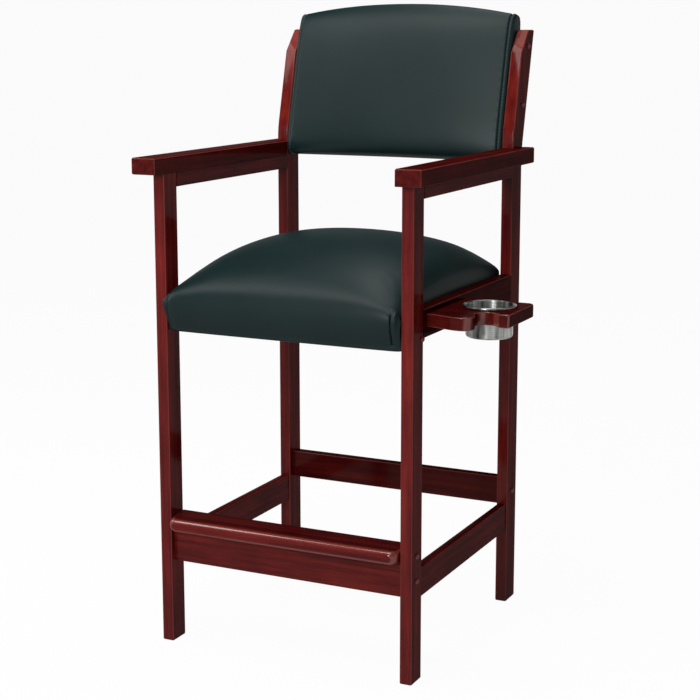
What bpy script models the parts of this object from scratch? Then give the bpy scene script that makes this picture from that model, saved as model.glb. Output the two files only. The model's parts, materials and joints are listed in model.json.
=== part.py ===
"""Tall spectator chair: two hardwood side frames bolted together by a footrest, a front seat rail, a rear
stretcher and the back, with a crowned seat, a padded back and a board that holds a cup and a cue.

Metres, +Z up, +Y towards the back of the chair, +X to the right of someone who faces it. The sizes below are
measured from the floor, from the front of the front legs and from the chair's middle plane. CHAIR, the parent
of every piece, moves them so that the origin lies on the floor under the middle of the chair's bounding box.
"""

from math import acos, atan2, cos, degrees, pi, radians, sin, sqrt, tan

import bmesh
import bpy
from mathutils import Matrix, Vector

# Fits and edges
FIT = 0.0003
EDGE = 0.003
EDGE_STEPS = 2
EASED_ANGLE = radians(30)
PARALLEL = 0.9
OVERRUN = 0.002

# Side frames
FRAME_WIDTH = 0.525
FRAME_DEPTH = 0.5315
STOCK = 0.024
FRONT_LEG_DEPTH = 0.045
POST_DEPTH = 0.0505
KNEE_HEIGHT = 0.922
KNEE_RADIUS = 0.150
FRONT_KNEE_RISE = 0.033
LEAN = radians(14)
POST_RISE = 0.2285
POST_TOP_DEPTH = 0.032
POST_BEVEL_DROP = 0.044
SEAT_RAIL_RISE = 0.021
SEAT_RAIL_HEIGHT = 0.053
STRETCHER_BOTTOM = 0.1525
STRETCHER_HEIGHT = 0.056
STRETCHER_THICKNESS = 0.018
TENON_LENGTH = 0.015
TENON_SHOULDER = 0.005
TENON_SHOULDER_DEEP = 0.012

# Arms
ARM_TOP = 0.9325
ARM_THICKNESS = 0.031
ARM_WIDTH = 0.0505
ARM_FRONT_OVERHANG = 0.031
ARM_RAIL_HEIGHT = 0.0265

# Footrest and rear stretcher
FOOT_RAIL_BOTTOM = 0.1595
FOOT_RAIL_HEIGHT = 0.064
FOOT_RAIL_THICKNESS = 0.018
FOOT_RAIL_SETBACK = 0.012
TREAD_THICKNESS = 0.028
TREAD_NOSE = 0.018
TREAD_CORNER = 0.018
TREAD_ROUND = 0.012
REAR_STRETCHER_BOTTOM = 0.2035
REAR_STRETCHER_HEIGHT = 0.057
REAR_STRETCHER_THICKNESS = 0.022

# Seat
SEAT_BOTTOM = 0.608
FRONT_SEAT_RAIL_HEIGHT = 0.0437
FRONT_SEAT_RAIL_THICKNESS = 0.030
FRONT_SEAT_RAIL_INSET = 0.0065
DECK_THICKNESS = 0.012
CLEAT_WIDTH = 0.020
CLEAT_HEIGHT = 0.022
CLEAT_END_GAP = 0.030
SEAT_NOSE = 0.022
SEAT_BETWEEN_POSTS = 0.009
SEAT_FRONT_RISE = 0.012
SEAT_REAR_RISE = 0.026
SEAT_CROWN = 0.0966
SEAT_CORNER = 0.007
SEAT_CORNER_SHARPNESS = 24
CROWN_BREADTH = 2.1
CROWN_FULLNESS = 0.39
CUSHION_GAP = 0.0009

# Back
BACK_DROP = 0.0338
BACK_HEIGHT = 0.301
BACK_ARCH = 0.023
BACK_THICKNESS = 0.049
BACK_FORWARD = 0.0085
BACK_CROWN = 0.018
BACK_SQUARENESS = 4.5
PANEL_THICKNESS = 0.018
PANEL_RISE = 0.034
PANEL_HEIGHT = 0.240
BACK_BOLT_LOW = 0.1205
BACK_BOLT_HIGH = 0.238

# Cup and cue board, and its cup
BOARD_DROP = 0.010
BOARD_THICKNESS = 0.0243
BOARD_EDGE = 0.0025
BOARD_MARGIN = 0.0213
BOARD_REAR_CORNER = 0.012
CUP_OFFSET = 0.0722
CUP_SETBACK = 0.1306
CUP_RADIUS = 0.043
CUP_DEPTH = 0.055
CUP_WALL = 0.0012
CUP_CORNER = 0.005
CUP_CLEARANCE = 0.0005
LIP_WIDTH = 0.0062
LIP_HEIGHT = 0.004
NOTCH_RADIUS = 0.0195
NOTCH_WEB = 0.013
FINGER_REACH = 0.056
FINGER_SIDE = 0.029
FINGER_RADIUS = 0.021
LOBE_SETBACK = 0.0045
LOBE_WIDTH = 0.0225
LOBE_RADIUS = 0.006
SWEEP_DEPTH = 0.0145

# Fasteners
BOLT_RADIUS = 0.003
BOLT_REACH = 0.042
BOLT_HEAD_RADIUS = 0.006
BOLT_HEAD_HEIGHT = 0.004
NUT_RADIUS = 0.005
NUT_LENGTH = 0.014
NUT_INSET = 0.032
SCREW_RADIUS = 0.002
SCREW_HEAD_RADIUS = 0.004
SCREW_HEAD_DEPTH = 0.0025
SCREW_TIP = 0.006
DECK_SCREW_BITE = 0.009
RAIL_SCREW_BITE = 0.016
BOARD_SCREW_BITE = 0.022
SCREW_END_GAP = 0.060
SCREW_STAGGER = 0.020

# Facets
ROUND_SIDES = 12
SCREW_SIDES = 8
CUP_SIDES = 40
CUP_STEPS = 3
DOME_STEPS = 3
NOSE_STEPS = 4
KNEE_STEPS = 3
ARC_STEPS = 6
SEAT_STATIONS = 8
SEAT_STEPS = 16
SEAT_FRONT_STEPS = 4
BACK_STATIONS = 7
BACK_STEPS = 32

# Places worked out from the sizes
HALF_WIDTH = FRAME_WIDTH / 2
INNER_HALF = HALF_WIDTH - STOCK
POST_FRONT = FRAME_DEPTH - POST_DEPTH
POST_MIDDLE = FRAME_DEPTH - POST_DEPTH / 2
POST_TOP = ARM_TOP + POST_RISE
FRONT_KNEE = KNEE_HEIGHT + FRONT_KNEE_RISE
POST_TOP_REAR = FRAME_DEPTH + (POST_TOP - KNEE_HEIGHT) * tan(LEAN)
ARM_UNDERSIDE = ARM_TOP - ARM_THICKNESS
ARM_OUTER = INNER_HALF + ARM_WIDTH
SEAT_RAIL_BOTTOM = SEAT_BOTTOM + SEAT_RAIL_RISE
SEAT_RAIL_TOP = SEAT_RAIL_BOTTOM + SEAT_RAIL_HEIGHT
FOOT_RAIL_TOP = FOOT_RAIL_BOTTOM + FOOT_RAIL_HEIGHT
FOOT_RAIL_MIDDLE = FOOT_RAIL_SETBACK + FOOT_RAIL_THICKNESS / 2
TREAD_BOTTOM = FOOT_RAIL_TOP + FIT
DECK_BOTTOM = SEAT_BOTTOM + FRONT_SEAT_RAIL_HEIGHT + FIT
DECK_TOP = DECK_BOTTOM + DECK_THICKNESS
FRONT_SEAT_RAIL_MIDDLE = FRONT_LEG_DEPTH - FRONT_SEAT_RAIL_INSET
FRONT_SEAT_RAIL_FRONT = FRONT_SEAT_RAIL_MIDDLE - FRONT_SEAT_RAIL_THICKNESS / 2
SEAT_REAR = POST_FRONT + SEAT_BETWEEN_POSTS
SEAT_FRONT_EDGE = DECK_TOP + SEAT_FRONT_RISE
SEAT_REAR_EDGE = DECK_TOP + SEAT_REAR_RISE
BOARD_TOP = SEAT_RAIL_TOP - BOARD_DROP
BOARD_BOTTOM = BOARD_TOP - BOARD_THICKNESS
CUP_X = HALF_WIDTH + CUP_OFFSET
CUP_Y = FRONT_LEG_DEPTH + CUP_SETBACK
LIP_RADIUS = CUP_RADIUS + LIP_WIDTH
BOARD_OUTER = CUP_X + CUP_RADIUS + BOARD_MARGIN
BOARD_REAR = CUP_Y + CUP_RADIUS + BOARD_MARGIN
NOTCH_X = BOARD_OUTER - LOBE_WIDTH - NOTCH_RADIUS
BACK_BOTTOM = ARM_TOP - BACK_DROP
BACK_Y = POST_MIDDLE + (BACK_BOTTOM - KNEE_HEIGHT) * tan(LEAN)
BACK_PLACE = Matrix.Translation((0, BACK_Y, BACK_BOTTOM)) @ Matrix.Rotation(-LEAN, 4, "X")

# Finishes: colour, roughness, metallic
MAHOGANY = ((0.115, 0.016, 0.013), 0.28, 0.0)
VINYL = ((0.022, 0.031, 0.032), 0.42, 0.0)
STAINLESS = ((0.62, 0.62, 0.60), 0.25, 1.0)
PLYWOOD = ((0.42, 0.27, 0.14), 0.70, 0.0)
PAINTED_STEEL = ((0.10, 0.016, 0.018), 0.30, 0.0)
ZINC = ((0.55, 0.55, 0.57), 0.40, 1.0)

SIDES = (("left", -1), ("right", 1))


def clear_scene():
    for old in list(bpy.data.objects):
        bpy.data.objects.remove(old, do_unlink=True)


def add_origin():
    """The empty that carries every piece and puts the origin under the middle of the chair."""
    middle_x = (BOARD_OUTER - ARM_OUTER) / 2
    middle_y = (POST_TOP_REAR - ARM_FRONT_OVERHANG) / 2
    origin = bpy.data.objects.new("chair", None)
    origin.location = (-middle_x, -middle_y, 0)
    bpy.context.collection.objects.link(origin)
    return origin


def add_material(name, finish):
    colour, roughness, metallic = finish
    made = bpy.data.materials.new(name)
    made.use_nodes = True
    shader = made.node_tree.nodes["Principled BSDF"]
    shader.inputs["Base Color"].default_value = (*colour, 1.0)
    shader.inputs["Roughness"].default_value = roughness
    shader.inputs["Metallic"].default_value = metallic
    return made


def add_object(name, bm, place):
    bmesh.ops.recalc_face_normals(bm, faces=bm.faces)
    mesh = bpy.data.meshes.new(name)
    bm.to_mesh(mesh)
    bm.free()
    made = bpy.data.objects.new(name, mesh)
    bpy.context.collection.objects.link(made)
    made.parent = CHAIR
    made.matrix_local = place
    return made


def add_piece(name, bm, place, finish):
    """One piece of the chair, with its own material."""
    piece = add_object(name, bm, place)
    piece.data.materials.append(add_material(name + "_finish", finish))
    piece.data.shade_smooth()
    piece.data.set_sharp_from_angle(angle=EASED_ANGLE)
    return piece


def add_helper(name, bm, place):
    """A shape that only cuts or extends the pieces."""
    helper = add_object(name, bm, place)
    helper.hide_render = True
    helper.display_type = "WIRE"
    return helper


def extend(piece, helper):
    """Joins a helper's shape to a piece."""
    modifier = piece.modifiers.new(helper.name, "BOOLEAN")
    modifier.operation = "UNION"
    modifier.solver = "EXACT"
    modifier.object = helper


def cut(helper, *pieces):
    """Takes a helper's shape out of the pieces, all the cuts of a piece in one Boolean."""
    for piece in pieces:
        modifier = piece.modifiers.get("cuts")
        if modifier is None:
            modifier = piece.modifiers.new("cuts", "BOOLEAN")
            modifier.operation = "DIFFERENCE"
            modifier.solver = "EXACT"
            modifier.operand_type = "COLLECTION"
            modifier.collection = bpy.data.collections.new(piece.name + "_cuts")
        modifier.collection.objects.link(helper)


def box(low, high):
    """A box about its own middle, and the place of that middle."""
    low, high = Vector(low), Vector(high)
    bm = bmesh.new()
    bmesh.ops.create_cube(bm, size=1.0, matrix=Matrix.Diagonal((*(high - low), 1.0)))
    return bm, Matrix.Translation((low + high) / 2)


def sorted_corners(first, second):
    """The lowest and the highest corner of the box that two corners span."""
    pairs = list(zip(first, second))
    return tuple(min(pair) for pair in pairs), tuple(max(pair) for pair in pairs)


def grown(low, high, gap):
    """The corners of a box moved out by a gap on every side."""
    gap = Vector((gap, gap, gap))
    return Vector(low) - gap, Vector(high) + gap


def prism(outline, axis, start, end):
    """A closed outline pushed along an axis: an "x" outline is in (y, z), a "z" outline in (x, y)."""
    bm = bmesh.new()
    flat = [(start, a, b) if axis == "x" else (a, b, start) for a, b in outline]
    face = bm.faces.new([bm.verts.new(point) for point in flat])
    pushed = bmesh.ops.extrude_face_region(bm, geom=[face])["geom"]
    shift = Vector((end - start, 0, 0)) if axis == "x" else Vector((0, 0, end - start))
    bmesh.ops.translate(bm, verts=[v for v in pushed if isinstance(v, bmesh.types.BMVert)], vec=shift)
    bmesh.ops.recalc_face_normals(bm, faces=bm.faces)
    return bm


def ease(bm, radius, chosen=lambda edge: True, steps=EDGE_STEPS):
    """Rounds the chosen outside edges and leaves inside corners square."""
    bmesh.ops.recalc_face_normals(bm, faces=bm.faces)
    edges = [e for e in bm.edges if e.calc_face_angle_signed(0.0) > EASED_ANGLE and chosen(e)]
    bmesh.ops.bevel(bm, geom=edges, offset=radius, segments=steps, profile=0.5, affect="EDGES")
    return bm


def runs_along(index):
    """Chooses the edges parallel to one axis."""

    def chosen(edge):
        along = edge.verts[0].co - edge.verts[1].co
        return abs(along[index]) > PARALLEL * along.length

    return chosen


def turned(profile, sides=ROUND_SIDES):
    """A profile of (radius, height) points, from axis to axis, spun about Z."""
    bm = bmesh.new()
    points = [bm.verts.new((radius, 0, height)) for radius, height in profile]
    edges = [bm.edges.new(pair) for pair in zip(points, points[1:])]
    bmesh.ops.spin(bm, geom=points + edges, axis=(0, 0, 1), angle=2 * pi, steps=sides, use_merge=True)
    bmesh.ops.remove_doubles(bm, verts=bm.verts, dist=FIT / 100)
    return bm


def rod(radius, bottom, top, sides=ROUND_SIDES):
    return turned([(0, bottom), (radius, bottom), (radius, top), (0, top)], sides)


def arc(centre, radius, start, end, steps=ARC_STEPS):
    """Points on an arc, its angles in degrees from the first axis of its plane."""
    turns = [radians(start + (end - start) * step / steps) for step in range(steps + 1)]
    return [(centre[0] + radius * cos(turn), centre[1] + radius * sin(turn)) for turn in turns]


def loft(sections):
    """A solid through closed sections that all have the same number of points."""
    bm = bmesh.new()
    rings = [[bm.verts.new(point) for point in section] for section in sections]
    for ring, after in zip(rings, rings[1:]):
        for i, vert in enumerate(ring):
            following = (i + 1) % len(ring)
            bm.faces.new((vert, ring[following], after[following], after[i]))
    bm.faces.new(rings[0])
    bm.faces.new(rings[-1])
    return bm


def swell(share):
    """How full a cushion is at a share of the way from its middle to its edge."""
    return max(0.0, 1.0 - abs(share) ** CROWN_BREADTH) ** CROWN_FULLNESS


def signed_power(value, power):
    return abs(value) ** power * (1 if value >= 0 else -1)


def post_front(height):
    """Where the front of a rear post is at a height."""
    return POST_FRONT + max(0, height - FRONT_KNEE) * tan(LEAN)


def side_rail(name, side, bottom, height, thickness, shoulder, leg, post, glued_top=False):
    """A rail between a front leg and a rear post, with a stub tenon in each.

    The edges of a glued top stay square, so that its joint doesn't show.
    """
    middle = side * (HALF_WIDTH - STOCK / 2)
    rear = post_front(bottom)
    low = (middle - thickness / 2, FRONT_LEG_DEPTH + FIT, bottom)
    high = (middle + thickness / 2, rear - FIT, bottom + height)
    bm, place = box(low, high)
    along = runs_along(1)

    def chosen(edge):
        return along(edge) and not (glued_top and edge.verts[0].co.z > 0)

    rail = add_piece(name, ease(bm, EDGE, chosen), place, MAHOGANY)
    tenon_low = (low[0] + TENON_SHOULDER, FRONT_LEG_DEPTH - TENON_LENGTH, bottom + shoulder)
    tenon_high = (high[0] - TENON_SHOULDER, rear + TENON_LENGTH, bottom + height - shoulder)
    extend(rail, add_helper(name + "_tenons", *box(tenon_low, tenon_high)))
    cut(add_helper(name + "_mortises", *box(*grown(tenon_low, tenon_high, FIT))), leg, post)
    return rail


def front_leg(label, side):
    low = (side * HALF_WIDTH, 0, 0)
    high = (side * INNER_HALF, FRONT_LEG_DEPTH, ARM_UNDERSIDE - FIT)
    bm, place = box(*sorted_corners(low, high))

    def below_arm(edge):
        return any(vert.co.z < 0 for vert in edge.verts)

    return add_piece(label + "_front_leg", ease(bm, EDGE, below_arm), place, MAHOGANY)


def rear_post(label, side):
    """Upright to a round knee, then leaning back, with a long bevel at the front of its top."""
    bevel_start = POST_TOP - POST_BEVEL_DROP

    def knee(depth, height):
        centre = (depth + KNEE_RADIUS, height - KNEE_RADIUS * tan(LEAN / 2))
        return arc(centre, KNEE_RADIUS, 180, 180 - degrees(LEAN), KNEE_STEPS)

    outline = [
        (POST_FRONT, 0),
        (FRAME_DEPTH, 0),
        *knee(FRAME_DEPTH, KNEE_HEIGHT),
        (POST_TOP_REAR, POST_TOP),
        (POST_TOP_REAR - POST_TOP_DEPTH, POST_TOP),
        (post_front(bevel_start), bevel_start),
        *reversed(knee(POST_FRONT, FRONT_KNEE)),
    ]
    bm = ease(prism(outline, "x", -STOCK / 2, STOCK / 2), EDGE)
    place = Matrix.Translation((side * (HALF_WIDTH - STOCK / 2), 0, 0))
    return add_piece(label + "_rear_post", bm, place, MAHOGANY)


def arm(label, side, leg):
    """An arm notched round the rear post, on a tenon of the front leg."""
    inner, outer = INNER_HALF, ARM_OUTER
    notch = HALF_WIDTH + FIT
    rear = post_front(ARM_UNDERSIDE) - FIT
    outline = [
        (side * inner, -ARM_FRONT_OVERHANG),
        (side * outer, -ARM_FRONT_OVERHANG),
        (side * outer, FRAME_DEPTH),
        (side * notch, FRAME_DEPTH),
        (side * notch, rear),
        (side * inner, rear),
    ]

    def above_joint(edge):
        return any(vert.co.z > FIT or abs(vert.co.x) > inner + FIT for vert in edge.verts)

    bm = ease(prism(outline, "z", 0, ARM_THICKNESS), EDGE, above_joint)
    piece = add_piece(label + "_arm", bm, Matrix.Translation((0, 0, ARM_UNDERSIDE)), MAHOGANY)
    near, far = side * (INNER_HALF + TENON_SHOULDER), side * (HALF_WIDTH - TENON_SHOULDER)
    low = (near, TENON_SHOULDER, ARM_UNDERSIDE - TENON_LENGTH)
    high = (far, FRONT_LEG_DEPTH - TENON_SHOULDER, ARM_UNDERSIDE + TENON_LENGTH)
    tenon = sorted_corners(low, high)
    extend(leg, add_helper(label + "_arm_tenon", *box(*tenon)))
    cut(add_helper(label + "_arm_mortise", *box(*grown(*tenon, FIT))), piece)
    return piece


def side_frame(label, side):
    leg = front_leg(label, side)
    post = rear_post(label, side)
    arm(label, side, leg)
    under_arm = (ARM_UNDERSIDE - FIT - ARM_RAIL_HEIGHT, ARM_RAIL_HEIGHT, STOCK, TENON_SHOULDER)
    side_rail(label + "_arm_rail", side, *under_arm, leg, post, glued_top=True)
    beside_seat = (SEAT_RAIL_BOTTOM, SEAT_RAIL_HEIGHT, STOCK, TENON_SHOULDER_DEEP)
    seat_rail = side_rail(label + "_seat_rail", side, *beside_seat, leg, post)
    near_floor = (STRETCHER_BOTTOM, STRETCHER_HEIGHT, STRETCHER_THICKNESS, TENON_SHOULDER_DEEP)
    side_rail(label + "_stretcher", side, *near_floor, leg, post)
    return leg, post, seat_rail


def cross_rail(name, front, thickness, bottom, height):
    """A rail that runs across the chair between the two side frames."""
    half = INNER_HALF - FIT
    bm, place = box((-half, front, bottom), (half, front + thickness, bottom + height))
    return add_piece(name, ease(bm, EDGE, runs_along(0)), place, MAHOGANY)


def foot_tread():
    """The bullnose board of the footrest, its front corners round in plan."""
    half = INNER_HALF - FIT
    nose = -TREAD_NOSE
    outline = (
        [(half, FRONT_LEG_DEPTH), (-half, FRONT_LEG_DEPTH)]
        + arc((-half + TREAD_CORNER, nose + TREAD_CORNER), TREAD_CORNER, 180, 270)
        + arc((half - TREAD_CORNER, nose + TREAD_CORNER), TREAD_CORNER, 270, 360)
    )
    bm = prism(outline, "z", 0, TREAD_THICKNESS)
    front = nose + TREAD_CORNER + FIT

    def on_nose(edge):
        level = abs(edge.verts[0].co.z - edge.verts[1].co.z) < FIT
        return level and all(vert.co.y < front for vert in edge.verts)

    ease(bm, min(TREAD_ROUND, TREAD_THICKNESS / 2 - FIT), on_nose, NOSE_STEPS)
    place = Matrix.Translation((0, 0, TREAD_BOTTOM))
    return add_piece("foot_tread", bm, place, MAHOGANY)


def bolt(name, side, base, y, z, nut_turn, nut_mouth, leg, rail):
    """A domed bolt through a leg into a rail's end, and its barrel nut.

    nut_mouth is how far from the bolt's axis the nut's hole leaves the rail, along the nut's own -Z.
    """
    facing = Matrix.Rotation(side * pi / 2, 4, "Y")
    place = base @ Matrix.Translation((side * HALF_WIDTH, y, z)) @ facing
    length = STOCK + BOLT_REACH
    turns = [pi / 2 * step / DOME_STEPS for step in range(DOME_STEPS)]
    dome = [(BOLT_HEAD_RADIUS * cos(turn), FIT + BOLT_HEAD_HEIGHT * sin(turn)) for turn in turns]
    profile = [(0, -length), (BOLT_RADIUS, -length), (BOLT_RADIUS, FIT), *dome, (0, FIT + BOLT_HEAD_HEIGHT)]
    add_piece(name + "_bolt", turned(profile), place, PAINTED_STEEL)
    hole = add_helper(name + "_bolt_hole", rod(BOLT_RADIUS + FIT, -length - FIT, OVERRUN), place)

    nut_place = base @ Matrix.Translation((side * (INNER_HALF - NUT_INSET), y, z)) @ nut_turn
    nut = add_piece(name + "_nut", rod(NUT_RADIUS, -NUT_LENGTH / 2, NUT_LENGTH / 2), nut_place, ZINC)
    bore = rod(NUT_RADIUS + FIT, -nut_mouth - OVERRUN, NUT_LENGTH / 2 + FIT)
    cut(add_helper(name + "_nut_hole", bore, nut_place), rail)
    cut(hole, leg, rail, nut)


def screw(name, place, length, *through):
    """A countersunk screw, its head level with the surface at its place and its point along -Z."""

    def profile(gap, top):
        return [
            (0, -length - gap),
            (SCREW_RADIUS + gap, -length + SCREW_TIP),
            (SCREW_RADIUS + gap, -SCREW_HEAD_DEPTH),
            (SCREW_HEAD_RADIUS + gap, -FIT),
            (SCREW_HEAD_RADIUS + gap, top),
            (0, top),
        ]

    add_piece(name, turned(profile(0, -FIT / 2), SCREW_SIDES), place, ZINC)
    cut(add_helper(name + "_hole", turned(profile(FIT, OVERRUN), SCREW_SIDES), place), *through)


def seat_section(share):
    """The seat cushion's outline across the chair's depth, at a share of its half width."""
    drawn_in = SEAT_CORNER * abs(share) ** SEAT_CORNER_SHARPNESS
    nose = -SEAT_NOSE + drawn_in
    rail_face = FRONT_SEAT_RAIL_FRONT - CUSHION_GAP
    deck = DECK_TOP + FIT
    outline = [(SEAT_REAR, deck), (rail_face, deck), (rail_face, SEAT_BOTTOM)]
    for step in range(SEAT_FRONT_STEPS):
        rise = step / SEAT_FRONT_STEPS
        outline.append((drawn_in + (nose - drawn_in) * sin(rise * pi / 2),
                        SEAT_BOTTOM + (SEAT_FRONT_EDGE - SEAT_BOTTOM) * rise))
    for step in range(SEAT_STEPS + 1):
        back = (1 - cos(pi * step / SEAT_STEPS)) / 2
        edge = SEAT_FRONT_EDGE + (SEAT_REAR_EDGE - SEAT_FRONT_EDGE) * back
        outline.append((nose + (SEAT_REAR - nose) * back,
                        edge + SEAT_CROWN * swell(share) * swell(2 * back - 1)))
    across = share * (INNER_HALF - CUSHION_GAP)
    return [(across, y, z) for y, z in outline]


def seat(seat_rails):
    """The seat: a front rail, cleats on the side rails, a plywood deck and the crowned cushion."""
    rail = cross_rail(
        "front_seat_rail",
        FRONT_SEAT_RAIL_FRONT,
        FRONT_SEAT_RAIL_THICKNESS,
        SEAT_BOTTOM,
        FRONT_SEAT_RAIL_HEIGHT,
    )
    half = INNER_HALF - CUSHION_GAP
    deck_low = (-half, FRONT_SEAT_RAIL_FRONT, DECK_BOTTOM)
    deck = add_piece("seat_deck", *box(deck_low, (half, POST_FRONT, DECK_TOP)), PLYWOOD)
    cleat_front = FRONT_SEAT_RAIL_FRONT + FRONT_SEAT_RAIL_THICKNESS + CLEAT_END_GAP
    cleat_rear = POST_FRONT - CLEAT_END_GAP
    for (label, side), seat_rail in zip(SIDES, seat_rails):
        face = INNER_HALF - FIT
        low = (side * face, cleat_front, DECK_BOTTOM - FIT - CLEAT_HEIGHT)
        high = (side * (face - CLEAT_WIDTH), cleat_rear, DECK_BOTTOM - FIT)
        cleat = add_piece(label + "_seat_cleat", *box(*sorted_corners(low, high)), MAHOGANY)
        for end, y in (("front", cleat_front + SCREW_END_GAP), ("rear", cleat_rear - SCREW_END_GAP)):
            middle = side * (face - CLEAT_WIDTH / 2)
            below = Matrix.Translation((middle, y, low[2])) @ Matrix.Rotation(pi, 4, "X")
            screw(f"{label}_{end}_deck_screw", below, CLEAT_HEIGHT + DECK_SCREW_BITE, cleat, deck)
            inside = Matrix.Translation((high[0], y + SCREW_STAGGER, (low[2] + high[2]) / 2))
            inside = inside @ Matrix.Rotation(-side * pi / 2, 4, "Y")
            screw(f"{label}_{end}_cleat_screw", inside, CLEAT_WIDTH + RAIL_SCREW_BITE, cleat, seat_rail)
    shares = [sin(pi / 2 * k / SEAT_STATIONS) for k in range(-SEAT_STATIONS, SEAT_STATIONS + 1)]
    add_piece("seat_cushion", loft([seat_section(share) for share in shares]), Matrix(), VINYL)
    return rail


def back_section(share):
    """The back cushion's outline at a share of its half width, in the leaning plane of the posts."""
    arch = BACK_ARCH * (1 - share**2)
    half_height = (BACK_HEIGHT + arch) / 2
    rear = BACK_THICKNESS / 2
    front = rear + BACK_CROWN * swell(share)
    power = 2 / BACK_SQUARENESS
    section = []
    for step in range(BACK_STEPS):
        turn = 2 * pi * (step + 0.5) / BACK_STEPS
        across = signed_power(cos(turn), power)
        section.append((
            share * (INNER_HALF - CUSHION_GAP),
            across * (rear if across > 0 else front) - BACK_FORWARD,
            half_height * (1 + signed_power(sin(turn), power)),
        ))
    return section


def back():
    """The leaning back: a plywood panel between the posts and the cushion round it."""
    low = (-INNER_HALF + FIT, -PANEL_THICKNESS / 2, PANEL_RISE)
    high = (INNER_HALF - FIT, PANEL_THICKNESS / 2, PANEL_RISE + PANEL_HEIGHT)
    bm, place = box(low, high)
    panel = add_piece("back_panel", bm, BACK_PLACE @ place, PLYWOOD)
    shares = [sin(pi / 2 * k / BACK_STATIONS) for k in range(-BACK_STATIONS, BACK_STATIONS + 1)]
    cushion = add_piece("back_cushion", loft([back_section(share) for share in shares]), BACK_PLACE, VINYL)
    room, place = box(*grown(low, high, FIT))
    cut(add_helper("back_panel_room", room, BACK_PLACE @ place), cushion)
    return panel


def crossing(centre, other, radii, way):
    """Where a line that crosses between two arcs leaves the first, in degrees about its centre."""
    away = (other[0] - centre[0], other[1] - centre[1])
    apart = sqrt(away[0] ** 2 + away[1] ** 2)
    return degrees(atan2(away[1], away[0]) + way * acos(min(1.0, radii / apart)))


def board_outline():
    """The board's plan: a swept front edge, a finger, the cue notch, an outer lobe, a round rear corner."""
    notch = (NOTCH_X, CUP_Y - CUP_RADIUS - NOTCH_WEB - NOTCH_RADIUS)
    tip = notch[1] - FINGER_REACH
    finger = (notch[0] - FINGER_SIDE, tip + FINGER_RADIUS)
    lobe_front = notch[1] + LOBE_SETBACK
    lobe = (BOARD_OUTER - LOBE_WIDTH + LOBE_RADIUS, lobe_front + LOBE_RADIUS)
    leave_finger = crossing(finger, notch, FINGER_RADIUS + NOTCH_RADIUS, -1)
    leave_notch = crossing(notch, lobe, NOTCH_RADIUS + LOBE_RADIUS, 1)
    rail_face = HALF_WIDTH + FIT
    sweep = []
    for step in range(ARC_STEPS):
        share = step / ARC_STEPS
        drop = SWEEP_DEPTH * (1 + cos(pi * share)) / 2
        sweep.append((rail_face + (finger[0] - rail_face) * share, tip + drop))
    return (
        sweep
        + arc(finger, FINGER_RADIUS, -90, leave_finger)
        + arc(notch, NOTCH_RADIUS, leave_finger + 180, leave_notch, 2 * ARC_STEPS)
        + arc(lobe, LOBE_RADIUS, leave_notch + 180, 270)
        + arc((BOARD_OUTER - LOBE_RADIUS, lobe[1]), LOBE_RADIUS, 270, 360)
        + arc((BOARD_OUTER - BOARD_REAR_CORNER, BOARD_REAR - BOARD_REAR_CORNER), BOARD_REAR_CORNER, 0, 90)
        + [(rail_face, BOARD_REAR)]
    )


def cup_profile():
    """The pressed cup's section, from the middle of its floor over the rolled lip to its underside."""
    inner = CUP_RADIUS - CUP_WALL
    floor = CUP_WALL - CUP_DEPTH
    roll = (LIP_HEIGHT - FIT) / 2
    return [
        (0, floor),
        *arc((inner - CUP_CORNER, floor + CUP_CORNER), CUP_CORNER, -90, 0, CUP_STEPS),
        *arc((inner + roll, LIP_HEIGHT - roll), roll, 180, 90, CUP_STEPS),
        *arc((LIP_RADIUS - roll, LIP_HEIGHT - roll), roll, 90, -90, 2 * CUP_STEPS),
        (CUP_RADIUS, FIT),
        *arc((CUP_RADIUS - CUP_CORNER, CUP_CORNER - CUP_DEPTH), CUP_CORNER, 0, -90, CUP_STEPS),
        (0, -CUP_DEPTH),
    ]


def cup_board(seat_rail):
    """The board screwed to the outside of the right seat rail, and the cup that hangs in it by its lip."""
    bm = prism(board_outline(), "z", BOARD_BOTTOM, BOARD_TOP)

    def on_faces(edge):
        level = abs(edge.verts[0].co.z - edge.verts[1].co.z) < FIT
        return level and any(vert.co.x > HALF_WIDTH + 2 * FIT for vert in edge.verts)

    board = add_piece("cup_board", ease(bm, BOARD_EDGE, on_faces), Matrix(), MAHOGANY)
    cup_place = Matrix.Translation((CUP_X, CUP_Y, BOARD_TOP))
    hole = rod(CUP_RADIUS + CUP_CLEARANCE, -BOARD_THICKNESS - OVERRUN, OVERRUN, CUP_SIDES)
    cut(add_helper("cup_hole", hole, cup_place), board)
    add_piece("cup", turned(cup_profile(), CUP_SIDES), cup_place, STAINLESS)
    height = (BOARD_TOP + BOARD_BOTTOM) / 2
    for end, y in (("front", CUP_Y - CUP_RADIUS - NOTCH_WEB), ("rear", CUP_Y + CUP_RADIUS)):
        place = Matrix.Translation((INNER_HALF, y, height)) @ Matrix.Rotation(-pi / 2, 4, "Y")
        screw(end + "_board_screw", place, STOCK + BOARD_SCREW_BITE, seat_rail, board)


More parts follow.
